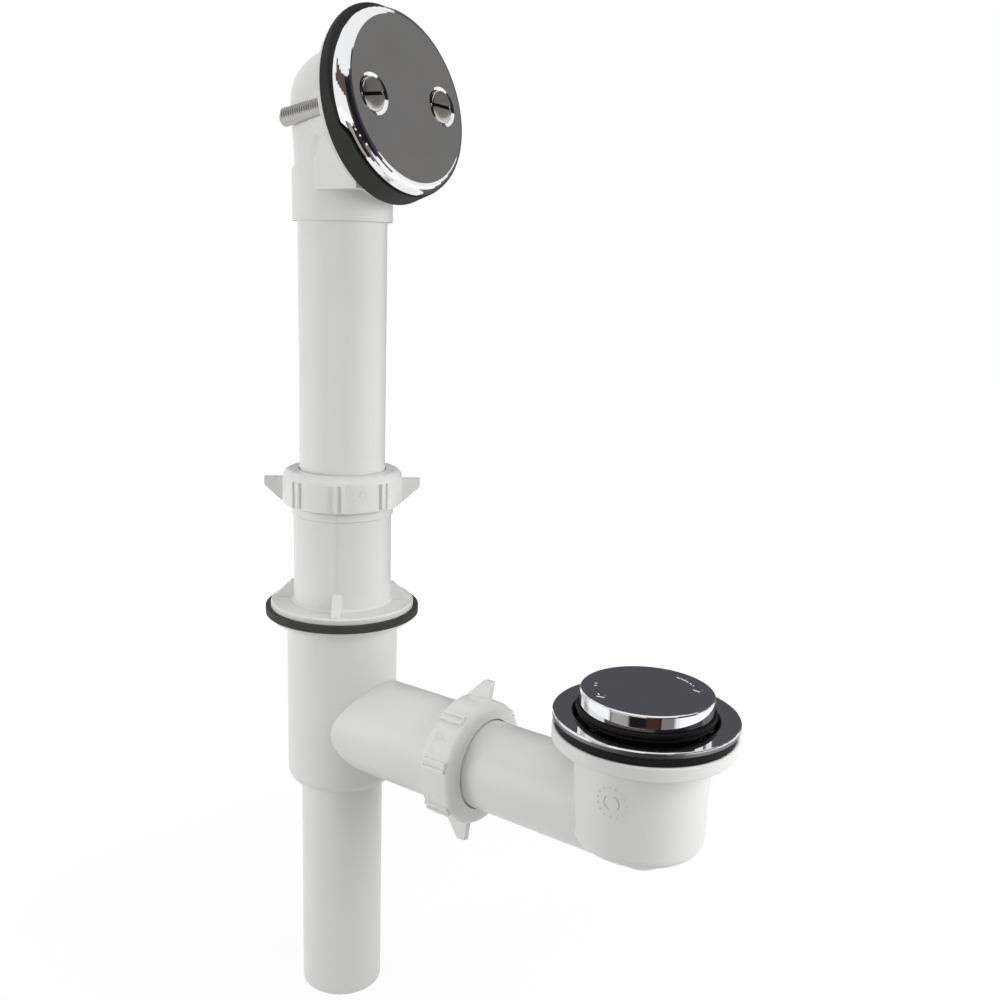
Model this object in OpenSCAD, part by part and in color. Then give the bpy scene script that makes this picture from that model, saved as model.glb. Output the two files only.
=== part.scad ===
// Bath waste and overflow: a plastic tee with its tailpiece, a sliding overflow
// riser with a chromed face plate, and a sliding waste arm whose shoe carries a
// chromed drain flange with a twist stopper.
// Units are millimetres. +Z is up, +X points from the tee to the drain shoe, and
// the origin is the centre of the tailpiece's lower end.

/* [Tubes and hubs] */
// Outside diameter of the riser, the waste arm and the tailpiece
tube_d = 38.1; // [36:0.1:39]
// Wall thickness of the three tubes
tube_wall = 1.6; // [1.2:0.1:2]
// Outside diameter of the receiver and of the tee's branch
hub_d = 44; // [43:0.1:45]

/* [Tee] */
// Length of the tailpiece below the tee's body
tail_len = 108; // [60:1:150]
// Outside diameter of the tee's body
tee_d = 50.8; // [50:0.1:54]
// Height of the tee's body, from its rounded foot to its flange
tee_h = 79; // [75:1:90]
// Height of the branch's axis above the tee's foot
branch_up = 30.4; // [29:0.1:34]
// Distance from the tee's axis to the end of the branch
branch_reach = 78; // [74:1:90]

/* [Receiver] */
// Diameter of the two flanges that grip the body washer
collar_d = 65; // [62:0.5:68]
// Thickness of each of those flanges
collar_t = 2.6; // [2:0.1:3.5]
// Outside diameter of the body washer
body_washer_d = 69.8; // [66:0.1:72]
// Thickness of the body washer
body_washer_t = 3.2; // [2:0.1:4]
// Height of the receiver above the body washer
receiver_h = 57.2; // [50:0.1:70]

/* [Slip nuts] */
// Outside diameter of a slip nut
nut_d = 53.4; // [52.5:0.1:56]
// Height of a slip nut
nut_h = 15.5; // [14:0.1:18]
// Distance from the axis to the tip of a wing
wing_reach = 34.8; // [32:0.1:40]
// Angle of the riser nut's wings about the riser
riser_nut_turn = 39.6; // [0:0.1:180]
// Angle of the arm nut's wings from the horizontal
arm_nut_turn = 76; // [0:0.1:180]

/* [Overflow riser] */
// Height of the riser's lower end above the origin
riser_foot = 205; // [190:1:215]
// Length of the riser tube
riser_len = 177; // [120:1:240]
// Length of the tube that sits in the elbow's socket
socket_depth = 19.5; // [14:0.1:22]
// Outside diameter of the elbow's socket
socket_d = 42.6; // [42:0.1:45]

/* [Overflow head] */
// Distance from the riser's axis to the back of the overflow gasket
head_reach = 24.4; // [24:0.1:30]
// Height of the overflow gasket's centre above the elbow's socket mouth
head_up = 45.2; // [42:0.1:60]
// Lean of the elbow's flange and of the screws, in degrees
flange_lean = 8; // [7.5:0.1:9]
// Lean of the face plate, in degrees
plate_lean = 13.2; // [12:0.1:13.5]
// Outside diameter of the overflow gasket
gasket_d = 78; // [76:0.5:82]
// Diameter of the face plate
plate_d = 73.8; // [72:0.1:76]
// Distance between the two screws
screw_gap = 42.5; // [40:0.5:45]

/* [Drain shoe] */
// Distance from the riser's axis to the drain's axis
shoe_x = 156.2; // [150:0.1:200]
// Distance from the tee's axis to the inner end of the waste arm
arm_start = 45; // [43:1:57]
// Outside diameter of the shoe's barrel
barrel_d = 52.4; // [52:0.1:56]
// Diameter of the shoe's flange
shoe_flange_d = 70.8; // [68:0.1:74]
// Height of the shoe flange's face above the arm's axis
shoe_up = 37.9; // [36:0.1:50]

/* [Drain and stopper] */
// Diameter of the chromed drain flange
drain_d = 71; // [70:0.1:76]
// Diameter of the stopper's cap
cap_d = 50.8; // [48:0.1:51.2]
// Height of the cap's rim
cap_h = 6; // [5:0.1:7]

/* [Hidden] */
$fn = 96;
eps = 0.01;

white_plastic = [0.93, 0.93, 0.91];
black_rubber = [0.10, 0.10, 0.10];
chrome = [0.75, 0.76, 0.78];
brass = [0.78, 0.66, 0.36];
steel = [0.70, 0.70, 0.68];
grey_plastic = [0.80, 0.80, 0.78];

tube_r = tube_d / 2;
tube_bore_r = tube_r - tube_wall;
hub_r = hub_d / 2;
slip_bore_r = tube_r + 0.4;
thread_r = hub_r + 1.3;

tee_r = tee_d / 2;
tee_flange_z = tail_len + tee_h;
branch_z = tail_len + branch_up;
washer_z = tee_flange_z + collar_t;
receiver_z = washer_z + body_washer_t;
receiver_top = receiver_z + receiver_h;
// The riser slides down as far as this ledge above the branch
riser_stop_z = branch_z + 24.6;
socket_thread_r = hub_r + 0.6;
spigot_len = 14;
// The waste arm slides in as far as this ledge
arm_stop_x = 25;

// How far a nut reaches back from the end of its hub
nut_grip = 9.5;
nut_lip = 3.7;
nut_hole_r = tube_r + 0.55;
mouth_depth = 5;
mouth_r = hub_r - 0.1;
// Each rib on a nut has a shallow channel down its middle
rib_w = 4.4;
rib_h = 11.2;
rib_foot = 1.2;
rib_proud = 1.4;
channel_w = 1.8;
channel_depth = 0.8;
wing_t = 3.2;
wing_foot = 0.4;
wing_tip = 7.6;
wing_top = 11.3;

riser_top = riser_foot + riser_len;
socket_z = riser_top - socket_depth;
socket_r = socket_d / 2;
head_z = socket_z + head_up;
neck_r = 20.2;
dome_r = 21.7;
dome_z = head_z + 2;
flange_r = gasket_d / 2 - 2;
flange_t = 3.5;
mouth_bore_r = 18;

// Centre of the face plate's rim
rim_reach = head_reach + 6.8;
rim_z = head_z + 0.7;
plate_r = plate_d / 2;
plate_sheet = 1.2;
plate_dish = 4.6;
// Width of the rounded edge round the plate's face
edge_run = 4.6;
plate_skirt = 3;
gasket_slope = 0.17;
// The inlet: where the step in the plate's skirt starts below its centre, its
// length, its edge above the rim's plane, and the gap to the gasket
inlet_start = 7.5;
inlet_run = 8.5;
inlet_edge = 0.8;
inlet_gap = 1.6;
screw_r = 3;
screw_head_r = 6.4;
screw_len = 49.5;
screw_cone = 3.2;
// How far the screws' heads stand out of the plate, without their crown
screw_proud = -0.1;
screw_crown = 0.5;
// How far the screws sit below the middle of the plate's face
screw_drop = 0.4;

shoe_face_z = branch_z + shoe_up;
barrel_r = barrel_d / 2;
shoe_flange_t = 5.6;
shoe_flange_r = shoe_flange_d / 2;
barrel_foot_z = branch_z - 8.9;
gasket_t = 3.6;
drain_r = drain_d / 2;
drain_seat_z = shoe_face_z + gasket_t;
drain_top_z = drain_seat_z + 2.4;
drain_thread_r = 23.7;
recess_r = 27;
throat_r = 21.4;
drain_foot_z = drain_top_z - 32.3;

cap_r = cap_d / 2;
cap_top_z = drain_top_z + 9.2;
cap_foot_z = cap_top_z - cap_h;
cap_sheet = 2.5;
seal_core_r = 19.65;
spindle_r = 4;
sleeve_r = 6.5;
// How far the sleeve hangs below the cap's rim
sleeve_drop = 17.5;

// A fan of points on a quarter turn of an ellipse, from angle a to angle b
function arc_points(cx, cy, rx, ry, a, b, n = 8) =
    [for (i = [0 : n]) let (t = a + (b - a) * i / n) [cx + rx * cos(t), cy + ry * sin(t)]];

// A smooth step from 0 to 1
function ease(t) = (1 - cos(180 * t)) / 2;

// Places its children on an axis that leans up by a degrees and faces +X, so
// that their own z runs out of the overflow and their own -x runs up
module facing(reach, height, lean) {
    translate([reach, 0, height]) rotate([0, 90 - lean, 0]) children();
}

// The slip end of a hub: its slightly larger threaded band, end at z = 0
module hub_thread_band(length) {
    translate([0, 0, -length]) cylinder(h = length, r = thread_r);
}

// The opening of a hub that takes the tapered slip washer, end at z = 0
module hub_mouth() {
    translate([0, 0, -mouth_depth])
        cylinder(h = mouth_depth + eps, r1 = slip_bore_r, r2 = mouth_r + eps);
}

module nut_wing() {
    root = nut_d / 2 - 1.5;
    rotate([90, 0, 0]) translate([0, 0, -wing_t / 2]) linear_extrude(wing_t)
        polygon([[root, wing_foot], [root + 1.8, wing_foot], [wing_reach, wing_tip],
                 [wing_reach, wing_top], [root, wing_top]]);
}

module nut_rib() {
    root = nut_d / 2 - 1.2;
    face = nut_d / 2 + rib_proud;
    difference() {
        translate([root, -rib_w / 2, rib_foot]) cube([face - root, rib_w, rib_h]);
        translate([face - channel_depth, -channel_w / 2, rib_foot - 1])
            cube([channel_depth + 1, channel_w, rib_h + 2]);
    }
}

// A winged slip nut that opens downwards, with its hub's end at z = 0
module slip_nut() {
    r = nut_d / 2;
    round_r = 3.6;
    color(white_plastic) translate([0, 0, -nut_grip]) difference() {
        union() {
            rotate_extrude() polygon(concat(
                [[0, 0], [r - 0.6, 0], [r, 0.6]],
                arc_points(r - round_r, nut_h - round_r, round_r, round_r, 0, 90),
                [[0, nut_h]]));
            for (a = [0, 180]) rotate(a) nut_wing();
            for (a = [45, 90, 135, 225, 270, 315]) rotate(a) nut_rib();
        }
        translate([0, 0, -eps]) cylinder(h = nut_h - nut_lip, r = thread_r + 0.2);
        cylinder(h = nut_h + 1, r = nut_hole_r);
    }
}

// The tapered washer that seals a tube in its hub, hub end at z = 0
module slip_washer() {
    inner = tube_r + 0.05;
    gap = 0.3;
    foot = -mouth_depth + 1.4;
    top = nut_h - nut_grip - nut_lip - gap;
    color(grey_plastic) rotate_extrude() polygon([
        [inner, foot], [slip_bore_r + 0.12, foot],
        [mouth_r - gap, 0.1], [mouth_r - gap, top], [inner, top]]);
}

// The tee: tailpiece, body, branch and upper flange are one moulding
module waste_tee() {
    foot_round = 5;
    color(white_plastic) difference() {
        union() {
            cylinder(h = tail_len + foot_round, r = tube_r);
            translate([0, 0, tail_len]) rotate_extrude() polygon(concat(
                [[0, 0]],
                arc_points(tee_r - foot_round, foot_round, foot_round, foot_round, -90, 0),
                [[tee_r, tee_h], [collar_d / 2 - 0.5, tee_h], [collar_d / 2, tee_h + 0.5],
                 [collar_d / 2, tee_h + collar_t], [0, tee_h + collar_t]]));
            translate([0, 0, branch_z]) rotate([0, 90, 0]) {
                cylinder(h = branch_reach, r = hub_r - 0.2);
                translate([0, 0, branch_reach]) hub_thread_band(9);
            }
        }
        translate([0, 0, -1]) cylinder(h = riser_stop_z + 1, r = tube_bore_r);
        translate([0, 0, riser_stop_z - eps]) cylinder(h = 40, r = slip_bore_r + 0.1);
        translate([0, 0, washer_z - spigot_len - 0.5]) cylinder(h = 30, r = socket_thread_r);
        translate([0, 0, branch_z]) rotate([0, 90, 0]) {
            cylinder(h = arm_stop_x + 1, r = tube_bore_r - 0.6);
            translate([0, 0, arm_stop_x]) cylinder(h = branch_reach, r = slip_bore_r);
            translate([0, 0, branch_reach]) hub_mouth();
        }
    }
}

// The flat rubber washer between the tee's flange and the receiver's
module body_washer() {
    color(black_rubber) translate([0, 0, washer_z]) difference() {
        cylinder(h = body_washer_t, r = body_washer_d / 2);
        translate([0, 0, -1]) cylinder(h = body_washer_t + 2, r = socket_thread_r + 0.4);
    }
}

// The receiver screws into the tee and takes the riser's slip joint
module riser_receiver() {
    r = hub_r + 0.1;
    gusset_h = 8;
    gusset_turn = -53;
    color(white_plastic) difference() {
        union() {
            translate([0, 0, washer_z - spigot_len])
                cylinder(h = spigot_len + body_washer_t + 1, r = socket_thread_r - 0.1);
            translate([0, 0, receiver_z]) rotate_extrude() polygon([
                [0, 0], [collar_d / 2, 0], [collar_d / 2, collar_t - 0.6],
                [collar_d / 2 - 0.6, collar_t], [r + 1, collar_t], [r, collar_t + 1],
                [r, receiver_h - 14.4], [r + 0.8, receiver_h - 13.8],
                [r + 0.8, receiver_h - 10.6], [r, receiver_h - 10],
                [r, receiver_h - 9], [thread_r, receiver_h - 9],
                [thread_r, receiver_h], [0, receiver_h]]);
            for (i = [0 : 3]) rotate(gusset_turn + 90 * i)
                translate([0, 2, receiver_z]) rotate([90, 0, 0]) linear_extrude(4)
                    polygon([[r - 1, 1], [collar_d / 2 - 1.4, 1], [collar_d / 2 - 1.4, collar_t + 0.4],
                             [r + 1.2, collar_t + gusset_h], [r - 1, collar_t + gusset_h]]);
        }
        translate([0, 0, washer_z - spigot_len - 1])
            cylinder(h = receiver_h + spigot_len + 10, r = slip_bore_r);
        translate([0, 0, receiver_top]) hub_mouth();
    }
}

module riser_slip_nut() {
    translate([0, 0, receiver_top]) rotate(riser_nut_turn) slip_nut();
}

module riser_slip_washer() {
    translate([0, 0, receiver_top]) slip_washer();
}

// Straight tube, its end bonded into the elbow's socket
module overflow_riser() {
    color(white_plastic) translate([0, 0, riser_foot]) difference() {
        cylinder(h = riser_len, r = tube_r);
        translate([0, 0, -1]) cylinder(h = riser_len + 2, r = tube_bore_r);
    }
}

// How high the screws' axis runs above the centre of the elbow's flange
function screw_up() =
    let (sx = rim_reach + plate_dish * cos(plate_lean) - head_reach,
         sz = rim_z + plate_dish * sin(plate_lean) - head_z)
    sz * cos(flange_lean) - sx * sin(flange_lean) - screw_drop;

// How far the face plate's face lies out along the screws' axis
function screw_face() =
    let (sx = rim_reach + plate_dish * cos(plate_lean) - head_reach,
         sz = rim_z + plate_dish * sin(plate_lean) - head_z)
    sx * cos(flange_lean) + sz * sin(flange_lean);

// Places children on each screw's axis: side is -1 for the left screw
module screw_axis(side) {
    facing(head_reach, head_z, flange_lean)
        translate([-screw_up(), side * screw_gap / 2, 0]) children();
}

// The elbow: a domed back over a socket, and a leaning flange with two bosses
module overflow_elbow() {
    neck_z = riser_top + 2.6;
    web_z = socket_z + 12;
    web_w = neck_r - 0.25;
    low_web_w = socket_r - 0.25;
    boss_r = 5.4;
    rim_slope = 14;
    color(white_plastic) difference() {
        union() {
            // domed back and neck, turned as one form
            rotate_extrude() polygon(concat(
                [[0, socket_z + 10], [neck_r, socket_z + 10], [neck_r, neck_z + 2]],
                [for (i = [1 : 4]) let (t = i / 4)
                    [neck_r + (dome_r - neck_r) * ease(t), neck_z + 2 + (dome_z - neck_z - 2) * t]],
                arc_points(0, dome_z, dome_r, dome_r, 0, 90, 12)));
            // socket with a rim that rises towards the overflow
            difference() {
                union() {
                    translate([0, 0, socket_z]) cylinder(h = 45, r = socket_r);
                    translate([2, -low_web_w, web_z]) cube([head_reach, 2 * low_web_w, 40]);
                }
                translate([0, 0, neck_z + 2]) rotate([0, -rim_slope, 0])
                    translate([-50, -50, 0]) cube([100, 100, 80]);
            }
            // throat that widens from the dome to the flange
            facing(head_reach, head_z, flange_lean) {
                translate([0, 0, -24]) cylinder(h = 22, r1 = 22, r2 = 23.5);
                translate([0, 0, -flange_t]) cylinder(h = flange_t, r = flange_r);
            }
            // web that carries the lower half of the flange
            translate([2, -web_w, web_z]) cube([head_reach + 0.5, 2 * web_w, head_z - web_z]);
            for (side = [-1, 1]) screw_axis(side)
                translate([0, 0, -11]) cylinder(h = 10, r = boss_r);
        }
        // socket and ledge for the riser
        translate([0, 0, socket_z - 1]) cylinder(h = socket_depth + 1.3, r = tube_r + 0.05);
        // the waterway
        translate([0, 0, socket_z]) cylinder(h = dome_z - socket_z, r = tube_bore_r);
        translate([0, 0, dome_z]) sphere(r = tube_bore_r);
        facing(head_reach, head_z, flange_lean)
            translate([0, 0, -26]) cylinder(h = 30, r = mouth_bore_r);
        // everything in front of the flange's face
        facing(head_reach, head_z, flange_lean)
            translate([-60, -60, 0]) cube([120, 120, 30]);
        for (side = [-1, 1]) screw_axis(side)
            translate([0, 0, -screw_len]) cylinder(h = screw_len + 10, r = screw_r + 0.02);
    }
}

// The water inlet in the plate's frame: a slab below a smooth step from foot to top
module inlet_slab(start, foot, top) {
    steps = 10;
    rotate([90, 0, 0]) translate([0, 0, -50]) linear_extrude(100) polygon(concat(
        [for (i = [0 : steps]) let (t = i / steps)
            [start + inlet_run * t, foot + (top - foot) * ease(t)]],
        [[60, top], [60, foot - 8], [start, foot - 8]]));
}

// The tapered gasket: thin at the top, thick at the bottom, higher in the inlet
module overflow_gasket() {
    depth = 16;
    color(black_rubber) difference() {
        facing(head_reach, head_z, flange_lean)
            cylinder(h = depth, r1 = gasket_d / 2, r2 = gasket_d / 2 - gasket_slope * depth);
        facing(rim_reach, rim_z, plate_lean) difference() {
            translate([-60, -60, -plate_skirt]) cube([120, 120, 40]);
            inlet_slab(inlet_start + 1.5, -plate_skirt - 0.3, inlet_edge - inlet_gap);
        }
        facing(head_reach, head_z, flange_lean)
            translate([0, 0, -1]) cylinder(h = 30, r = mouth_bore_r + 0.4);
        for (side = [-1, 1]) screw_axis(side)
            translate([0, 0, -1]) cylinder(h = 30, r = screw_r + 0.3);
    }
}

// The face plate: a pressed dish whose skirt is cut back over its lower part
module overflow_plate() {
    inner = plate_r - plate_sheet;
    face_r = plate_r - edge_run;
    // the countersink has the slope of the screw's cone
    cone_slope = (screw_head_r - screw_r) / screw_cone;
    sink_depth = 4;
    sink_h = 6;
    sink_r = screw_r + cone_slope * (screw_cone - screw_proud - sink_depth) + 0.05;
    // each screw sits in a shallow dimple pressed square to the plate
    dimple = 0.7;
    dimple_r = screw_head_r + 1.7;
    color(chrome) difference() {
        facing(rim_reach, rim_z, plate_lean) difference() {
            rotate_extrude() polygon(concat(
                [[0, plate_dish]],
                arc_points(face_r, 0, edge_run, plate_dish, 90, 0, 12),
                [[plate_r, -plate_skirt], [inner, -plate_skirt]],
                arc_points(face_r - 0.6, 0, inner - face_r + 0.6, plate_dish - plate_sheet, 0, 90, 10),
                [[0, plate_dish - plate_sheet]]));
            inlet_slab(inlet_start, -plate_skirt - 0.4, inlet_edge);
            for (side = [-1, 1])
                translate([screw_drop, side * screw_gap / 2, plate_dish - dimple])
                    cylinder(h = 2 * dimple, r1 = dimple_r - 1.5, r2 = dimple_r + 1.5);
        }
        for (side = [-1, 1]) screw_axis(side) translate([0, 0, screw_face()]) {
            translate([0, 0, -12]) cylinder(h = 24, r = screw_r + 0.3);
            translate([0, 0, -sink_depth])
                cylinder(h = sink_h, r1 = sink_r, r2 = sink_r + cone_slope * sink_h);
        }
    }
}

// An oval-head screw with a slot that lies level when it is tight
module plate_screw(side, slot_turn) {
    slot_w = 1.4;
    slot_depth = 1.3;
    point_h = 0.8;
    color(steel) screw_axis(side) translate([0, 0, screw_face() + screw_proud]) difference() {
        union() {
            translate([0, 0, -screw_len + point_h]) cylinder(h = screw_len - point_h, r = screw_r);
            translate([0, 0, -screw_len])
                cylinder(h = point_h + eps, r1 = screw_r - point_h, r2 = screw_r);
            rotate_extrude() polygon(concat(
                [[0, -screw_cone - 0.3], [screw_r, -screw_cone]],
                arc_points(0, 0, screw_head_r, screw_crown, 0, 90, 6)));
        }
        rotate(slot_turn) translate([-slot_w / 2, -10, screw_crown - slot_depth])
            cube([slot_w, 20, 5]);
    }
}

module plate_screw_left() {
    plate_screw(-1, 8);
}

module plate_screw_right() {
    plate_screw(1, -3);
}

// Places children on the waste arm's axis, their own z along +X
module arm_axis(x) {
    translate([x, 0, branch_z]) rotate([0, 90, 0]) children();
}

module arm_slip_nut() {
    arm_axis(branch_reach) rotate(arm_nut_turn + 90) slip_nut();
}

module arm_slip_washer() {
    arm_axis(branch_reach) slip_washer();
}

// A solid that runs along the arm's axis and ends in a rounded nose
module arm_form(start, end, r, nose) {
    arm_axis(0) rotate_extrude() polygon(concat(
        [[0, start], [r, start]],
        arc_points(0, end - nose, r, nose, 0, 90, 12)));
}

// The shoe: the waste arm and the barrel below the drain are one moulding
module waste_shoe() {
    foot_round = 4.5;
    seat_h = 6.3;
    color(white_plastic) difference() {
        union() {
            arm_form(arm_start, shoe_x + 19, tube_r, 16);
            translate([shoe_x, 0, 0]) rotate_extrude() polygon(concat(
                [[0, barrel_foot_z]],
                arc_points(barrel_r - 0.8 - foot_round, barrel_foot_z + foot_round,
                           foot_round, foot_round, -90, 0),
                [[barrel_r, shoe_face_z - shoe_flange_t - 0.8],
                 [barrel_r + 0.8, shoe_face_z - shoe_flange_t],
                 [shoe_flange_r - 0.6, shoe_face_z - shoe_flange_t],
                 [shoe_flange_r, shoe_face_z - shoe_flange_t + 0.6],
                 [shoe_flange_r, shoe_face_z - 0.5], [shoe_flange_r - 0.5, shoe_face_z],
                 [0, shoe_face_z]]));
        }
        // waterway along the arm and up through the barrel
        arm_form(arm_start - 1, shoe_x + 17, tube_bore_r, 14);
        translate([shoe_x, 0, 0]) {
            translate([0, 0, barrel_foot_z + 2.4])
                cylinder(h = 30, r = drain_thread_r - 1.4);
            translate([0, 0, drain_foot_z - 1.5]) cylinder(h = 40, r = drain_thread_r + 0.1);
            // seat for the cone under the drain flange
            translate([0, 0, shoe_face_z - seat_h])
                cylinder(h = seat_h + 0.1, r1 = drain_thread_r + 0.1, r2 = recess_r + 2.5);
        }
    }
}

module shoe_gasket() {
    color(black_rubber) translate([shoe_x, 0, shoe_face_z]) difference() {
        cylinder(h = gasket_t, r = shoe_flange_r - 1.1);
        translate([0, 0, -1]) cylinder(h = gasket_t + 2, r = recess_r + 2.2);
    }
}

// The drain flange: a turned bowl with a threaded body and a cross in its foot
module drain_flange() {
    wall_r = recess_r + 1.9;
    bowl_z = drain_top_z - 5.7;
    throat_z = drain_top_z - 11.1;
    bar_h = 4;
    edge = 0.6;
    color(chrome) translate([shoe_x, 0, 0]) {
        rotate_extrude() polygon(concat(
            [[drain_thread_r, drain_foot_z], [drain_thread_r, throat_z - 1],
             [wall_r, bowl_z - 0.6], [wall_r, drain_seat_z], [drain_r - 0.4, drain_seat_z]],
            [[drain_r, drain_seat_z + 0.4]],
            arc_points(drain_r - edge, drain_top_z - edge, edge, edge, 0, 90, 6),
            arc_points(recess_r + 1, drain_top_z - 1.5, 1, 1, 90, 180, 4),
            [[recess_r, bowl_z], [throat_r, throat_z], [throat_r, drain_foot_z]]));
        difference() {
            union() {
                translate([0, 0, drain_foot_z + 1]) cylinder(h = 8, r = 7);
                for (a = [0, 90]) rotate(a)
                    translate([-throat_r - 0.6, -1.6, drain_foot_z + 1])
                        cube([2 * throat_r + 1.2, 3.2, bar_h]);
            }
            cylinder(h = 400, r = spindle_r + 0.77);
        }
    }
}

// The post screws into the cross and carries the stopper's quick thread
module stopper_post() {
    post_r = spindle_r + 0.75;
    color(brass) translate([shoe_x, 0, 0]) {
        translate([0, 0, drain_foot_z - 1.5]) cylinder(h = 11, r = post_r);
        translate([0, 0, drain_foot_z + 9]) cylinder(h = 2.6, r = 7.4, $fn = 6);
        translate([0, 0, drain_foot_z + 11]) cylinder(h = 20, r = spindle_r);
        translate([0, 0, drain_foot_z + 31]) cylinder(h = 0.8, r1 = spindle_r, r2 = spindle_r - 0.8);
    }
}

// The carrier rides up and down on the sleeve and its fins run in the throat
module stopper_carrier() {
    hub = 9;
    disc = 20.9;
    core = seal_core_r - 0.05;
    top_r = cap_r - 1.8;
    fin_t = 2.4;
    fin_h = 10;
    fin_foot = -18;
    color(grey_plastic) translate([shoe_x, 0, cap_foot_z]) difference() {
        union() {
            rotate_extrude() polygon([
                [0, -13.5], [hub, -13.5], [hub, -8.4], [disc - 0.5, -8.4], [disc, -7.9],
                [disc, -6.6], [core, -6.6], [core, 0.4], [top_r, 0.4], [top_r, 2.9], [0, 2.9]]);
            for (a = [45, 135]) rotate(a)
                translate([0.1 - disc, -fin_t / 2, fin_foot]) cube([2 * disc - 0.2, fin_t, fin_h]);
        }
        translate([0, 0, -20]) cylinder(h = 30, r = sleeve_r + 0.06);
        // room for the clip under the hub
        translate([0, 0, -20]) cylinder(h = 6.5, r = hub + 0.4);
    }
}

// The ribbed rubber seal that closes against the bowl
module stopper_seal() {
    rib_r = 1.2;
    low_rib_r = 1.1;
    color(black_rubber) translate([shoe_x, 0, cap_foot_z]) rotate_extrude() polygon(concat(
        [[seal_core_r, -0.3], [24.6, -0.3]],
        arc_points(25.5, -1.5, rib_r, rib_r, 80, -90, 8),
        [[25.3, -2.7]],
        arc_points(25, -3.6, low_rib_r, low_rib_r, 60, -80, 8),
        [[24.6, -5.2], [23.4, -6.5], [seal_core_r, -6.5]]));
}

// The turned cap: a flat face, a small rounded edge and a hollow underside
module stopper_cap() {
    edge = 0.9;
    wall = 1.4;
    color(chrome) translate([shoe_x, 0, 0]) difference() {
        translate([0, 0, cap_foot_z]) rotate_extrude() polygon(concat(
            [[0, 0], [cap_r, 0]],
            arc_points(cap_r - edge, cap_h - edge, edge, edge, 0, 90),
            [[0, cap_h]]));
        translate([0, 0, cap_foot_z - 1]) cylinder(h = cap_h - cap_sheet + 1, r = cap_r - wall);
    }
}

// The sleeve under the cap runs on the post's quick thread
module stopper_sleeve() {
    length = sleeve_drop + cap_h - cap_sheet;
    color(brass) translate([shoe_x, 0, cap_foot_z - sleeve_drop]) difference() {
        cylinder(h = length, r = sleeve_r);
        translate([0, 0, -1]) cylinder(h = length, r = spindle_r + 0.05);
        // groove for the clip
        translate([0, 0, 2.2]) difference() {
            cylinder(h = 1.1, r = 10);
            translate([0, 0, -1]) cylinder(h = 4, r = sleeve_r - 0.8);
        }
    }
}

// The open spring clip that keeps the carrier on the sleeve
module stopper_clip() {
    opening = 4.4;
    color(steel) translate([shoe_x, 0, cap_foot_z - sleeve_drop + 2.25]) difference() {
        cylinder(h = 1, r = 8.6);
        translate([0, 0, -1]) cylinder(h = 3, r = sleeve_r - 0.75);
        rotate(20) translate([0, -opening / 2, -1]) cube([12, opening, 3]);
    }
}

waste_tee();
body_washer();
riser_receiver();
riser_slip_nut();
riser_slip_washer();
overflow_riser();
overflow_elbow();
overflow_gasket();
overflow_plate();
plate_screw_left();
plate_screw_right();
arm_slip_nut();
arm_slip_washer();
waste_shoe();
shoe_gasket();
drain_flange();
stopper_post();
stopper_carrier();
stopper_seal();
stopper_cap();
stopper_sleeve();
stopper_clip();
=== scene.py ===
# Bath waste and overflow drain: finishes, fine detail, studio and camera.
import math

import bmesh
import bpy
from mathutils import Matrix, Vector


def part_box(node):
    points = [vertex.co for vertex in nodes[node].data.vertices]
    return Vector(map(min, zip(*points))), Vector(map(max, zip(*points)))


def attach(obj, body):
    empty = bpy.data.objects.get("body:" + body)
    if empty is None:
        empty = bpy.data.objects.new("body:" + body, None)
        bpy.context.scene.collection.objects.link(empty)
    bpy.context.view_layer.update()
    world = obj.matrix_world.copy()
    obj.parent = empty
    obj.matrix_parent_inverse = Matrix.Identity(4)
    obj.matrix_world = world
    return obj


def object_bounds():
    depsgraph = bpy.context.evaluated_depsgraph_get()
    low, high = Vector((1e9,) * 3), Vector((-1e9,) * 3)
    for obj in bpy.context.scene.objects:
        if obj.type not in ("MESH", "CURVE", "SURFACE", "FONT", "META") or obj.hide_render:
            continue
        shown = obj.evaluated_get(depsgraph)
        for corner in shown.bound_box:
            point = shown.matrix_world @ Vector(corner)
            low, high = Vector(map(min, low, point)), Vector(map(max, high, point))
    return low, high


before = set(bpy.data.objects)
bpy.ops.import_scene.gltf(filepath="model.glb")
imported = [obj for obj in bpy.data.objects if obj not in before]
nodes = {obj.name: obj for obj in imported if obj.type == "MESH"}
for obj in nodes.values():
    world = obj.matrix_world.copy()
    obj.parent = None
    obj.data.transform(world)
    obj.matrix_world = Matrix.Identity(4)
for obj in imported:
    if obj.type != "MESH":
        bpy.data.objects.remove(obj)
cad_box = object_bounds()

MM = 0.001


# Camera: the photograph's viewpoint, fitted to the outlines of the tubes.

EYE = Vector((329.14, -357.13, 349.32)) * MM
YAW = 2.2151
PITCH = 0.2315
ROLL = 0.0239
FOCAL_PX = 1098.0
IMAGE_PX = 1000.0
CENTRE_PX = (450.0, 515.0)


def make_camera():
    data = bpy.data.cameras.new("camera")
    data.sensor_width = 36.0
    data.lens = FOCAL_PX / IMAGE_PX * data.sensor_width
    data.shift_x = (IMAGE_PX / 2 - CENTRE_PX[0]) / IMAGE_PX
    data.shift_y = (CENTRE_PX[1] - IMAGE_PX / 2) / IMAGE_PX
    data.clip_start = 0.01
    data.clip_end = 20.0
    camera = bpy.data.objects.new("camera", data)
    forward = Vector((
        math.cos(YAW) * math.cos(PITCH), math.sin(YAW) * math.cos(PITCH), -math.sin(PITCH)))
    level = Vector((math.sin(YAW), -math.cos(YAW), 0.0))
    raised = level.cross(forward)
    right = level * math.cos(ROLL) + raised * math.sin(ROLL)
    up = raised * math.cos(ROLL) - level * math.sin(ROLL)
    turn = Matrix((right, up, -forward)).transposed()
    camera.matrix_world = Matrix.Translation(EYE) @ turn.to_4x4()
    bpy.context.scene.collection.objects.link(camera)
    bpy.context.scene.camera = camera


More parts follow.
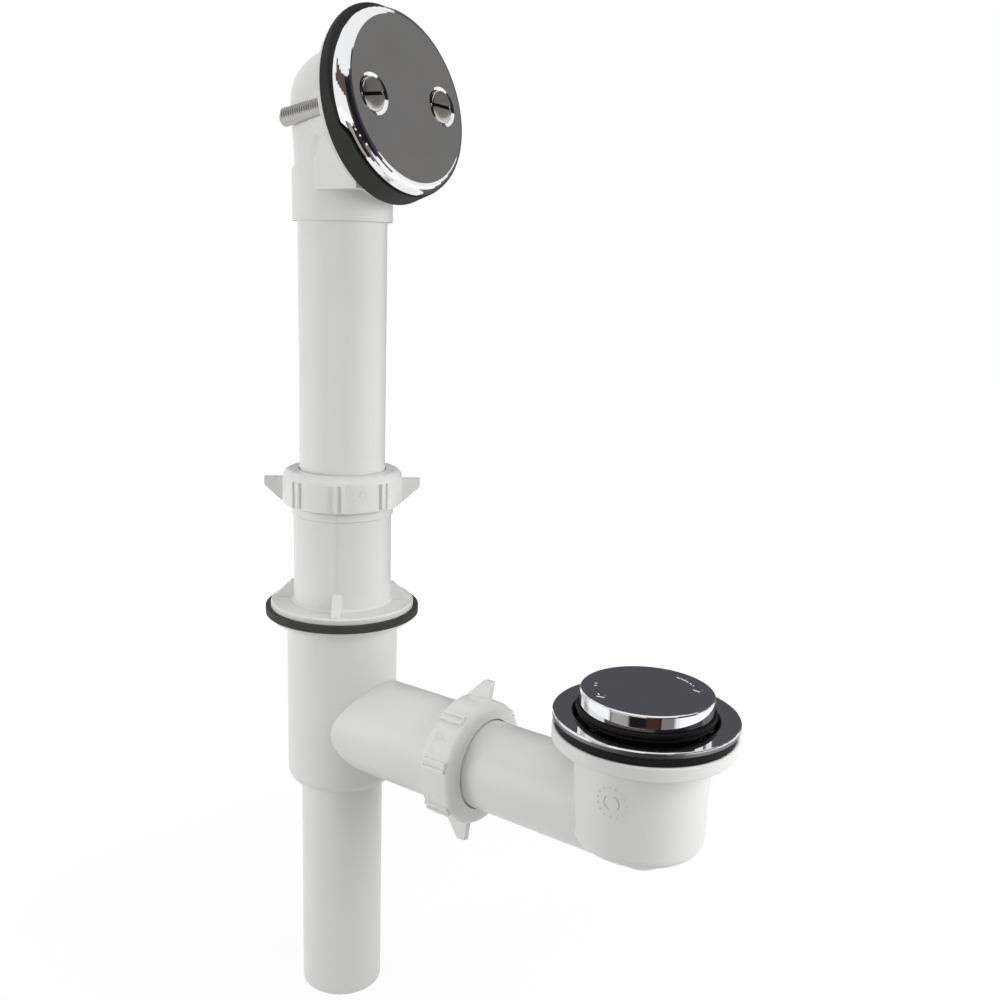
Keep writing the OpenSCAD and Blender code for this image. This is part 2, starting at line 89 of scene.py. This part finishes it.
make_camera()
bpy.context.scene.view_settings.view_transform = "Standard"


# Node helpers

def new_material(name):
    material = bpy.data.materials.new(name)
    material.use_nodes = True
    return material, material.node_tree, material.node_tree.nodes["Principled BSDF"]


def link(tree, source, target):
    tree.links.new(source, target)


def add(tree, kind, **values):
    """A new node with some of its own settings."""
    node = tree.nodes.new(kind)
    for key, value in values.items():
        setattr(node, key, value)
    return node


def own_place(tree, kind="Object"):
    return tree.nodes.new("ShaderNodeTexCoord").outputs[kind]


def ramp(tree, factor, stops):
    """Colours or plain values at places from 0 to 1."""
    node = tree.nodes.new("ShaderNodeValToRGB")
    elements = node.color_ramp.elements
    while len(elements) < len(stops):
        elements.new(0.5)
    for element, (place, value) in zip(elements, stops):
        element.position = place
        colour = value if isinstance(value, tuple) else (value, value, value)
        element.color = (*colour, 1.0)
    link(tree, factor, node.inputs["Fac"])
    return node.outputs["Color"]


def noise(tree, scale, detail=4.0, roughness=0.55):
    node = tree.nodes.new("ShaderNodeTexNoise")
    node.inputs["Scale"].default_value = scale
    node.inputs["Detail"].default_value = detail
    node.inputs["Roughness"].default_value = roughness
    link(tree, own_place(tree), node.inputs["Vector"])
    return node.outputs["Fac"]


def bump(tree, shader, height, strength, distance, normal=None):
    node = tree.nodes.new("ShaderNodeBump")
    node.inputs["Strength"].default_value = strength
    node.inputs["Distance"].default_value = distance
    link(tree, height, node.inputs["Height"])
    if normal:
        link(tree, normal, node.inputs["Normal"])
    link(tree, node.outputs["Normal"], shader.inputs["Normal"])
    return node.outputs["Normal"]


def band(tree, source, zero, one, low=0.0, high=1.0):
    """A mask that goes from low, where the source is zero, to high, where it is one."""
    node = tree.nodes.new("ShaderNodeMapRange")
    for socket, value in (("From Min", zero), ("From Max", one), ("To Min", low), ("To Max", high)):
        node.inputs[socket].default_value = value
    link(tree, source, node.inputs["Value"])
    return node.outputs["Result"]


def combine(tree, operation, first, second):
    node = add(tree, "ShaderNodeMath", operation=operation)
    link(tree, first, node.inputs[0])
    link(tree, second, node.inputs[1])
    return node.outputs["Value"]


def length(tree, vector):
    node = add(tree, "ShaderNodeVectorMath", operation="LENGTH")
    link(tree, vector, node.inputs[0])
    return node.outputs["Value"]


# Materials

def white_plastic(name, tint, roughness):
    """Moulded plastic: faint clouding and scuffs, slow waves, and a fine skin."""
    material, tree, shader = new_material(name)
    cloud = noise(tree, 22.0, 3.0)
    colour = ramp(tree, cloud, [(0.3, tuple(0.97 * c for c in tint)), (0.7, tint)])
    link(tree, colour, shader.inputs["Base Color"])
    scuffs = noise(tree, 120.0, 5.0, 0.6)
    wear = ramp(tree, scuffs, [(0.35, roughness - 0.03), (0.7, roughness + 0.05)])
    link(tree, wear, shader.inputs["Roughness"])
    shader.inputs["IOR"].default_value = 1.47
    shader.inputs["Subsurface Weight"].default_value = 0.15
    shader.inputs["Subsurface Radius"].default_value = (1.0, 0.95, 0.85)
    shader.inputs["Subsurface Scale"].default_value = 2.0 * MM
    skin = noise(tree, 1100.0, 2.0)
    waves = noise(tree, 55.0, 2.0)
    waved = bump(tree, shader, waves, 0.10, 0.3 * MM)
    bump(tree, shader, skin, 0.08, 0.05 * MM, waved)
    return material


def rubber(name, colour, roughness, gloss=0.22):
    """Rubber with dust in patches and a fine grain."""
    material, tree, shader = new_material(name)
    dust = noise(tree, 60.0, 5.0, 0.65)
    dusty = tuple(1.5 * c + 0.004 for c in colour)
    link(tree, ramp(tree, dust, [(0.40, colour), (0.80, dusty)]), shader.inputs["Base Color"])
    wear = ramp(tree, dust, [(0.3, roughness), (0.7, roughness + 0.12)])
    link(tree, wear, shader.inputs["Roughness"])
    shader.inputs["Specular IOR Level"].default_value = gloss
    bump(tree, shader, noise(tree, 1500.0, 3.0), 0.25, 0.08 * MM)
    return material


def metal(name, colour, roughness, haze, wave=0.04 * MM):
    """Metal with faint marks, which are duller, and slow waves in its surface."""
    material, tree, shader = new_material(name)
    shader.inputs["Metallic"].default_value = 1.0
    marks = noise(tree, 70.0, 5.0, 0.6)
    dull = tuple(0.95 * c for c in colour)
    link(tree, ramp(tree, marks, [(0.3, dull), (0.7, colour)]), shader.inputs["Base Color"])
    wear = ramp(tree, marks, [(0.35, roughness), (0.75, roughness + haze)])
    link(tree, wear, shader.inputs["Roughness"])
    bump(tree, shader, noise(tree, 240.0, 3.0, 0.5), 0.03, wave)
    return material


def tone_and_shade_where(material, mask, colour, roughness):
    """Mixes another colour and roughness in where the mask is 1; its uses paint shade and
    reflections into some places, and one gives a real greyer tone.
    """
    tree = material.node_tree
    shader = tree.nodes["Principled BSDF"]
    for socket, value in (("Base Color", colour), ("Roughness", (roughness,) * 3)):
        source = shader.inputs[socket].links[0].from_socket
        mix = add(tree, "ShaderNodeMix", data_type="RGBA")
        link(tree, mask, mix.inputs["Factor"])
        link(tree, source, mix.inputs[6])
        mix.inputs[7].default_value = (*value, 1.0)
        link(tree, mix.outputs[2], shader.inputs[socket])


# Depths below the flange's top and distances from its axis, each where a mask
# is 0 and where it is 1. The side masks place a painted grey reflection band and
# the bowl masks a painted shade.
SIDE_DEPTH = (0.55 * MM, 0.8 * MM)
SIDE_INSET = (1.6 * MM, 1.4 * MM)
BOWL_TOP = (0.10 * MM, 0.35 * MM)
BOWL_FOOT = (7.5 * MM, 6.0 * MM)
BOWL_RADIUS = (28.3 * MM, 27.95 * MM)


def chrome_with_painted_shade(name, colour, roughness, haze):
    """Chrome for the drain flange, with painted light: a darker, rougher grey band on its side
    stands for a reflection, and painted shade darkens its bowl beside the seal.
    """
    material = metal(name, colour, roughness, haze)
    tree = material.node_tree
    low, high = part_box("drain_flange")
    place = add(tree, "ShaderNodeVectorMath", operation="SUBTRACT")
    link(tree, own_place(tree), place.inputs[0])
    place.inputs[1].default_value = ((low[0] + high[0]) / 2, 0.0, high[2])
    split = tree.nodes.new("ShaderNodeSeparateXYZ")
    link(tree, place.outputs["Vector"], split.inputs["Vector"])
    flat = add(tree, "ShaderNodeVectorMath", operation="MULTIPLY")
    flat.inputs[1].default_value = (1.0, 1.0, 0.0)
    link(tree, place.outputs["Vector"], flat.inputs[0])
    reach = length(tree, flat.outputs["Vector"])

    def below(depths):
        return band(tree, split.outputs["Z"], -depths[0], -depths[1])

    edge = (high[0] - low[0]) / 2
    rim = band(tree, reach, edge - SIDE_INSET[0], edge - SIDE_INSET[1])
    side = combine(tree, "MULTIPLY", below(SIDE_DEPTH), rim)
    # Painted reflection: the flange's side band is darkened to grey, and rougher.
    tone_and_shade_where(material, side, (0.20, 0.20, 0.215), 0.32)
    # Painted shade: the bowl beside the seal is darkened to near black, as if it mirrored the dark
    # seal.
    depth = combine(tree, "MULTIPLY", below(BOWL_TOP), below(BOWL_FOOT))
    painted_bowl_shade = combine(tree, "MULTIPLY", depth, band(tree, reach, *BOWL_RADIUS))
    tone_and_shade_where(material, painted_bowl_shade, (0.022, 0.022, 0.025), 0.38)
    return material


SCREW_LEAN = math.radians(8.0)
SCREW_AXIS = Vector((math.cos(SCREW_LEAN), 0.0, math.sin(SCREW_LEAN)))

# Distances behind the top of a screw's head, each where a mask is 0 and where it is 1.
# The slot's band is painted shade.
SLOT_TOP = (0.6 * MM, 0.9 * MM)
SLOT_FOOT = (4.0 * MM, 3.0 * MM)
SHANK_TOP = (5.0 * MM, 6.0 * MM)


def slotted_steel(name, colour, roughness, haze):
    """Screw steel, with painted shade darkening the slots of the heads, and greyer down the shanks.
    """
    material = metal(name, colour, roughness, haze, 0.1 * MM)
    tree = material.node_tree
    head_top = max(v.co.dot(SCREW_AXIS) for v in nodes["plate_screw_left"].data.vertices)
    along = add(tree, "ShaderNodeVectorMath", operation="DOT_PRODUCT")
    link(tree, own_place(tree), along.inputs[0])
    along.inputs[1].default_value = SCREW_AXIS

    def behind(depths):
        return band(tree, along.outputs["Value"], head_top - depths[0], head_top - depths[1])

    # Painted shade: the floors of the slots are darkened to near black.
    slot = combine(tree, "MULTIPLY", behind(SLOT_TOP), behind(SLOT_FOOT))
    tone_and_shade_where(material, slot, (0.012, 0.011, 0.010), 0.6)
    tone_and_shade_where(material, behind(SHANK_TOP), (0.42, 0.41, 0.39), 0.25)
    return material


CHROME_TINT = (0.86, 0.865, 0.88)

WHITE = white_plastic("white_plastic", (0.80, 0.80, 0.79), 0.34)
NUT_WHITE = white_plastic("nut_plastic", (0.82, 0.82, 0.81), 0.30)
WASHER = white_plastic("washer_plastic", (0.66, 0.66, 0.63), 0.45)
RUBBER = rubber("black_rubber", (0.0045, 0.0045, 0.0048), 0.42, 0.12)
GASKET = rubber("gasket_rubber", (0.030, 0.0305, 0.029), 0.60)
FLAT_RUBBER = rubber("flat_rubber", (0.040, 0.041, 0.036), 0.62)
SHOE_RUBBER = rubber("shoe_rubber", (0.009, 0.0085, 0.0085), 0.55, 0.16)
CHROME = metal("chrome", CHROME_TINT, 0.04, 0.03)
FLANGE_CHROME = chrome_with_painted_shade("flange_chrome", CHROME_TINT, 0.04, 0.03)
BRASS = metal("brass", (0.78, 0.60, 0.30), 0.22, 0.12)
STEEL = slotted_steel("screw_steel", (0.66, 0.63, 0.585), 0.17, 0.08)

FINISHES = {
    "waste_tee": WHITE,
    "body_washer": FLAT_RUBBER,
    "riser_receiver": WHITE,
    "riser_slip_nut": NUT_WHITE,
    "riser_slip_washer": WASHER,
    "overflow_riser": WHITE,
    "overflow_elbow": WHITE,
    "overflow_gasket": GASKET,
    "overflow_plate": CHROME,
    "plate_screw_left": STEEL,
    "plate_screw_right": STEEL,
    "arm_slip_nut": NUT_WHITE,
    "arm_slip_washer": WASHER,
    "waste_shoe": WHITE,
    "shoe_gasket": SHOE_RUBBER,
    "drain_flange": FLANGE_CHROME,
    "stopper_post": BRASS,
    "stopper_carrier": WASHER,
    "stopper_seal": RUBBER,
    "stopper_cap": CHROME,
    "stopper_sleeve": BRASS,
    "stopper_clip": STEEL,
}


def finish_nodes():
    for name, material in FINISHES.items():
        for slot in nodes[name].material_slots:
            slot.material = material


finish_nodes()


# Fine detail: ridges swept along a path of (point, normal) pairs, in millimetres.

# A ridge's section, from side to side and from foot to crest, as shares of its
# width and height. Its feet are sunk into the surface.
RIDGE_SECTION = ((-0.5, -0.3), (-0.22, 1.0), (0.22, 1.0), (0.5, -0.3))


def sweep(shape, path, width, height, closed=False):
    """Adds a ridge with sloping sides to the bmesh, standing on its path."""
    rings = []
    count = len(path)
    for i, (point, normal) in enumerate(path):
        before = path[(i - 1) % count if closed else max(i - 1, 0)][0]
        after = path[(i + 1) % count if closed else min(i + 1, count - 1)][0]
        side = (after - before).cross(normal).normalized()
        rings.append([
            shape.verts.new((point + side * width * across + normal * height * up) * MM)
            for across, up in RIDGE_SECTION])
    for i in range(count if closed else count - 1):
        near, far = rings[i], rings[(i + 1) % count]
        for k in range(3):
            shape.faces.new((near[k], near[k + 1], far[k + 1], far[k]))
        shape.faces.new((near[3], near[0], far[0], far[3]))
    if not closed:
        shape.faces.new(rings[0])
        shape.faces.new(rings[-1][::-1])


def ridge_piece(name, body, material, ridges):
    """One piece made of several ridges, each (path, width, height, closed)."""
    shape = bmesh.new()
    for path, width, height, closed in ridges:
        sweep(shape, path, width, height, closed)
    bmesh.ops.recalc_face_normals(shape, faces=shape.faces)
    mesh = bpy.data.meshes.new(name)
    shape.to_mesh(mesh)
    shape.free()
    mesh.materials.append(material)
    piece = bpy.data.objects.new(name, mesh)
    bpy.context.scene.collection.objects.link(piece)
    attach(piece, body)
    return piece


def upright(radius, azimuth, height, centre=(0.0, 0.0)):
    """A point and its normal on an upright cylinder."""
    normal = Vector((math.cos(azimuth), math.sin(azimuth), 0.0))
    return normal * radius + Vector((centre[0], centre[1], height)), normal


def lowest(node, axis):
    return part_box(node)[0][axis] / MM


def highest(node, axis):
    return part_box(node)[1][axis] / MM


def middle(node, axis):
    return (lowest(node, axis) + highest(node, axis)) / 2


# The receiver's mould seams: two fine ridges that cross its bead below the nut.

SEAM_AZIMUTHS = {"front": math.radians(-53), "back": math.radians(127)}
SEAM_START = 27.8
SEAM_STEP = 1.2
SEAM_WIDTH = 0.55
SEAM_HEIGHT = 0.16
RECEIVER_R = 22.1
BEAD_PROUD = 0.8


def receiver_seams():
    top = highest("riser_receiver", 2)
    bead_r = RECEIVER_R + BEAD_PROUD
    profile = [(RECEIVER_R, lowest("riser_receiver", 2) + SEAM_START), (RECEIVER_R, top - 14.4),
               (bead_r, top - 13.8), (bead_r, top - 10.6),
               (RECEIVER_R, top - 10.0), (RECEIVER_R, top - 9.4)]
    for name, azimuth in SEAM_AZIMUTHS.items():
        path = []
        for (r0, z0), (r1, z1) in zip(profile, profile[1:]):
            steps = max(1, round(abs(z1 - z0) / SEAM_STEP))
            for i in range(steps):
                t = i / steps
                z = z0 + (z1 - z0) * t
                wander = 0.006 * math.sin(z * 0.55) + 0.003 * math.sin(z * 1.7)
                path.append(upright(r0 + (r1 - r0) * t, azimuth + wander, z))
        ridge_piece("receiver_seam_" + name, "tee_body", WHITE,
                    [(path, SEAM_WIDTH, SEAM_HEIGHT, False)])


receiver_seams()


# Round marks left by the mould's pins on the two nuts.

NUT_R = 26.7
PIN_MARK_R = 1.5
PIN_MARK_STEPS = 28
PIN_MARK_RIDGE = (0.4, 0.12)
RISER_MARK_UP = 8.3
RISER_MARK_AZIMUTH = math.radians(-28)
ARM_MARK_IN = 5.0
ARM_MARK_ANGLE = math.radians(140)


def pin_mark(name, point_at):
    """A ring on a nut, where point_at takes distances around and along its side."""
    angles = [2 * math.pi * i / PIN_MARK_STEPS for i in range(PIN_MARK_STEPS)]
    ring = [point_at(PIN_MARK_R * math.cos(a), PIN_MARK_R * math.sin(a)) for a in angles]
    ridge_piece(name, "tee_body", NUT_WHITE, [(ring, *PIN_MARK_RIDGE, True)])


def nut_marks():
    z = lowest("riser_slip_nut", 2) + RISER_MARK_UP
    x = lowest("arm_slip_nut", 0) + ARM_MARK_IN
    axis_z = middle("arm_slip_nut", 2)

    def riser_spot(around, along):
        return upright(NUT_R, RISER_MARK_AZIMUTH + around / NUT_R, z + along)

    def arm_spot(around, along):
        angle = ARM_MARK_ANGLE + around / NUT_R
        normal = Vector((0.0, math.cos(angle), math.sin(angle)))
        return normal * NUT_R + Vector((x + along, 0.0, axis_z)), normal

    pin_mark("riser_nut_mark", riser_spot)
    pin_mark("arm_nut_mark", arm_spot)


nut_marks()


# The screws' threads behind the elbow's bosses.

THREAD_PITCH = 1.27
THREAD_LEN = 26.0
THREAD_START = 1.0
THREAD_ROOT_R = 2.95
THREAD_RIDGE = (0.8, 0.42)
THREAD_STEPS = 24
# How far the points of a screw's end lie from its lowest one along X, with its lean
TIP_DEPTH = 0.9


def screw_threads():
    across = Vector((0.0, 1.0, 0.0))
    raised = SCREW_AXIS.cross(across)
    for side in ("left", "right"):
        node = "plate_screw_" + side
        low_x = lowest(node, 0)
        points = [v.co / MM for v in nodes[node].data.vertices]
        tip = [point for point in points if point.x < low_x + TIP_DEPTH]
        end = sum(tip, Vector()) / len(tip)
        path = []
        for i in range(round(THREAD_LEN / THREAD_PITCH * THREAD_STEPS)):
            angle = 2 * math.pi * i / THREAD_STEPS
            normal = across * math.cos(angle) + raised * math.sin(angle)
            along = THREAD_START + THREAD_PITCH * i / THREAD_STEPS
            path.append((end + SCREW_AXIS * along + normal * THREAD_ROOT_R, normal))
        ridge_piece("screw_thread_" + side, "overflow", STEEL,
                    [(path, *THREAD_RIDGE, False)])


screw_threads()


# Faint moulding dial on the shoe's barrel: a ring of dots around two arcs.

BARREL_R = 26.2
DIAL_Z = 155.5
DIAL_AZIMUTH = math.radians(-88)
DIAL_HEIGHT = 0.12
ARC_R, ARC_WIDTH, ARC_SPAN, ARC_STARTS = 3.0, 0.5, 120, (-50, 130)
DOT_R, DOT_WIDTH, DOT_SPAN, DOT_STEP = 5.8, 0.7, 7, 24


def shoe_dial():
    centre = (middle("drain_flange", 0), 0.0)

    def arc(radius, first, span, steps):
        path = []
        for i in range(steps + 1):
            angle = math.radians(first + span * i / steps)
            around = DIAL_AZIMUTH + radius * math.cos(angle) / BARREL_R
            path.append(upright(BARREL_R, around, DIAL_Z + radius * math.sin(angle), centre))
        return path

    ridges = [(arc(ARC_R, first, ARC_SPAN, 12), ARC_WIDTH, DIAL_HEIGHT, False)
              for first in ARC_STARTS]
    ridges += [(arc(DOT_R, first, DOT_SPAN, 2), DOT_WIDTH, DIAL_HEIGHT, False)
               for first in range(0, 360, DOT_STEP)]
    ridge_piece("shoe_dial", "shoe", WHITE, ridges)


shoe_dial()


# Two curved arrows of short dashes on the cap, which show that it turns both ways.

ARROW_R = 19.5
ARROW_HEIGHT = 0.16
# The middle of each arrow, and the way that it points
ARROWS = ((math.radians(217), 1), (math.radians(60), -1))
DASHES = 6
DASH = math.radians(4.6)
DASH_GAP = math.radians(2.4)
DASH_WIDTH = 1.5
BARB = math.radians(6)
BARB_REACH = 1.8
BARB_WIDTH = 1.0


def cap_arrows():
    centre = Vector((middle("stopper_cap", 0), 0.0, highest("stopper_cap", 2)))
    up = Vector((0.0, 0.0, 1.0))

    def spot(radius, angle):
        return centre + Vector((radius * math.cos(angle), radius * math.sin(angle), 0.0)), up

    ridges = []
    for halfway, way in ARROWS:
        start = halfway - way * DASHES * (DASH + DASH_GAP) / 2
        for i in range(DASHES):
            first = start + way * i * (DASH + DASH_GAP)
            path = [spot(ARROW_R, first + way * DASH * k / 3) for k in range(4)]
            ridges.append((path, DASH_WIDTH, ARROW_HEIGHT, False))
        tip = start + way * (DASHES * (DASH + DASH_GAP) + DASH)
        back = tip - way * BARB
        head = [spot(ARROW_R - BARB_REACH, back), spot(ARROW_R, tip),
                spot(ARROW_R + BARB_REACH, back)]
        ridges.append((head, BARB_WIDTH, ARROW_HEIGHT, False))
    ridge_piece("cap_arrows", "stopper_top", CHROME, ridges)


cap_arrows()


# Studio: a white floor and background, soft boxes, and glowing cards that paint reflections into
# the chrome.

# Light that the world gives the part, where 1 is the white that the camera sees
WORLD_LIGHT = 0.46
FLOOR_TONE = 0.55
FLOOR_GLOW = 1.2
FLOOR_HALF = 3.0
# Distances between which the floor's own shade fades out, and the glow's share at each
FLOOR_FADE = (0.25, 0.75)
FLOOR_SHARE = (0.72, 1.0)


def plain_object(name, mesh, material):
    obj = bpy.data.objects.new(name, mesh)
    bpy.context.scene.collection.objects.link(obj)
    obj.data.materials.append(material)
    return obj


def make_world():
    """White to the camera, mirrors and glass, and dimmer as a light."""
    world = bpy.data.worlds.new("studio")
    bpy.context.scene.world = world
    world.use_nodes = True
    tree = world.node_tree
    background = tree.nodes["Background"]
    ray = tree.nodes.new("ShaderNodeLightPath").outputs
    seen = combine(tree, "MAXIMUM", ray["Is Camera Ray"], ray["Is Glossy Ray"])
    seen = combine(tree, "MAXIMUM", seen, ray["Is Transmission Ray"])
    strength = band(tree, seen, 0.0, 1.0, WORLD_LIGHT, 1.0)
    link(tree, strength, background.inputs["Strength"])
    background.inputs["Color"].default_value = (1.0, 1.0, 1.0, 1.0)


def make_floor():
    """Near the part the floor keeps its shadow, and farther out it is plain white."""
    material, tree, shader = new_material("floor")
    shader.inputs["Base Color"].default_value = (FLOOR_TONE, FLOOR_TONE, FLOOR_TONE, 1.0)
    shader.inputs["Roughness"].default_value = 0.9
    ray = tree.nodes.new("ShaderNodeLightPath").outputs
    seen = combine(tree, "MAXIMUM", ray["Is Camera Ray"], ray["Is Glossy Ray"])
    fade = band(tree, length(tree, own_place(tree)), *FLOOR_FADE, *FLOOR_SHARE)
    share = combine(tree, "MULTIPLY", seen, fade)
    glow = tree.nodes.new("ShaderNodeEmission")
    glow.inputs["Strength"].default_value = FLOOR_GLOW
    mix = tree.nodes.new("ShaderNodeMixShader")
    link(tree, share, mix.inputs["Fac"])
    link(tree, shader.outputs["BSDF"], mix.inputs[1])
    link(tree, glow.outputs["Emission"], mix.inputs[2])
    link(tree, mix.outputs["Shader"], tree.nodes["Material Output"].inputs["Surface"])
    mesh = bpy.data.meshes.new("floor")
    s = FLOOR_HALF
    mesh.from_pydata([(-s, -s, 0), (s, -s, 0), (s, s, 0), (-s, s, 0)], [], [(0, 1, 2, 3)])
    floor = plain_object("floor", mesh, material)
    floor.location = (0.08, 0.0, cad_box[0][2] - 0.2 * MM)


def soft_box(name, centre, target, size, power):
    data = bpy.data.lights.new(name, "AREA")
    data.shape = "RECTANGLE"
    data.size, data.size_y = size
    data.energy = power
    lamp = bpy.data.objects.new(name, data)
    lamp.location = centre
    aim = Vector(target) - Vector(centre)
    lamp.rotation_euler = aim.to_track_quat("-Z", "Y").to_euler()
    lamp.visible_glossy = False
    bpy.context.scene.collection.objects.link(lamp)


def graded_glow(name, stops):
    """An emission that follows the mesh's own U from one colour to the next."""
    material = bpy.data.materials.new(name)
    material.use_nodes = True
    tree = material.node_tree
    tree.nodes.remove(tree.nodes["Principled BSDF"])
    split = tree.nodes.new("ShaderNodeSeparateXYZ")
    link(tree, own_place(tree, "UV"), split.inputs["Vector"])
    glow = tree.nodes.new("ShaderNodeEmission")
    link(tree, ramp(tree, split.outputs["X"], stops), glow.inputs["Color"])
    link(tree, glow.outputs["Emission"], tree.nodes["Material Output"].inputs["Surface"])
    return material


def card(name, rows, stops):
    """A glowing sheet that only reflections show, a painted reflection, through rows of points of
    equal length.
    """
    width = len(rows[0])
    mesh = bpy.data.meshes.new(name)
    faces = [(r * width + i, r * width + i + 1, (r + 1) * width + i + 1, (r + 1) * width + i)
             for r in range(len(rows) - 1) for i in range(width - 1)]
    mesh.from_pydata([point for row in rows for point in row], [], faces)
    uv = mesh.uv_layers.new(name="UVMap")
    for loop in mesh.loops:
        uv.data[loop.index].uv = (loop.vertex_index % width / (width - 1), 0.5)
    obj = plain_object(name, mesh, graded_glow(name, stops))
    for ray in ("camera", "diffuse", "shadow", "transmission", "volume_scatter"):
        setattr(obj, "visible_" + ray, False)


def plain(colour):
    return [(0.0, colour), (1.0, colour)]


DRAIN_X = 0.156
ROOM_R = 1.25
CARD_LIFT = 1.0 * MM


def arc_row(radius, z, first, last, steps=24):
    """Points on an upright arc around the drain, between two azimuths in degrees."""
    angles = [math.radians(first + (last - first) * i / steps) for i in range(steps + 1)]
    return [(DRAIN_X + radius * math.cos(a), radius * math.sin(a), z) for a in angles]


def wall_rows(first, last, low, high):
    """The room's wall between two azimuths and two heights."""
    return [arc_row(ROOM_R, z, first, last) for z in (low, high)]


def front_floor_card():
    """Painted reflection of the dark room behind the camera, as the cap's rim shows it."""
    floor_z = cad_box[0][2] + CARD_LIFT
    white, beige, grey = (0.95, 0.96, 1.0), (0.40, 0.385, 0.37), (0.23, 0.22, 0.21)
    dark, brown = (0.012, 0.012, 0.014), (0.06, 0.028, 0.022)
    stops = [(0.0, white), (0.02, dark), (0.05, beige), (0.28, beige), (0.305, dark),
             (0.525, dark), (0.545, brown), (0.70, brown), (0.725, dark), (0.75, grey),
             (0.91, grey), (0.94, white)]
    rows = [arc_row(radius, floor_z, -127.0, -7.0) for radius in (0.26, 1.2)]
    card("front_floor_card", rows, stops)


def room_cards():
    """Painted reflection of the same room above the floor, as the face plate's rounded edge shows
    it.
    """
    brown, dark, violet = (0.11, 0.085, 0.075), (0.015, 0.015, 0.018), (0.07, 0.065, 0.08)
    card("room_card", wall_rows(-62.0, 26.0, 0.02, 1.45),
         [(0.0, brown), (0.12, brown), (0.2, dark), (0.75, dark), (1.0, violet)])
    card("room_card_left", wall_rows(-138.0, -62.0, 0.77, 1.39), plain(brown))
    card("room_card_right", wall_rows(26.0, 47.0, 0.70, 1.45), plain(violet))


def back_cards():
    """Painted reflection of the grey wall that the level chromed faces show."""
    violet, grey = (0.090, 0.085, 0.100), (0.19, 0.185, 0.18)
    floor_z = cad_box[0][2] + CARD_LIFT
    near, far = 0.55, 1.2
    left, split, right = -1.7, 0.42, 1.3
    low, high = 0.66, 1.5
    card("back_card_left",
         [[(left, y, z), (split, y, z)] for y, z in ((near, floor_z), (far, floor_z), (far, high))],
         [(0.0, violet), (0.8, violet), (1.0, grey)])
    card("back_card_right", [[(split, far, z), (right, far, z)] for z in (low, high)], plain(grey))


make_world()
make_floor()
soft_box("left_light", (-0.42, -0.60, 0.26), (0.0, 0.0, 0.22), (0.4, 0.5), 2.3)
soft_box("right_light", (0.60, 0.10, 0.38), (0.14, 0.0, 0.2), (0.3, 0.4), 1.85)
soft_box("top_light", (0.1, 0.0, 1.4), (0.08, 0.0, 0.2), (0.9, 0.9), 3.4)
front_floor_card()
room_cards()
back_cards()
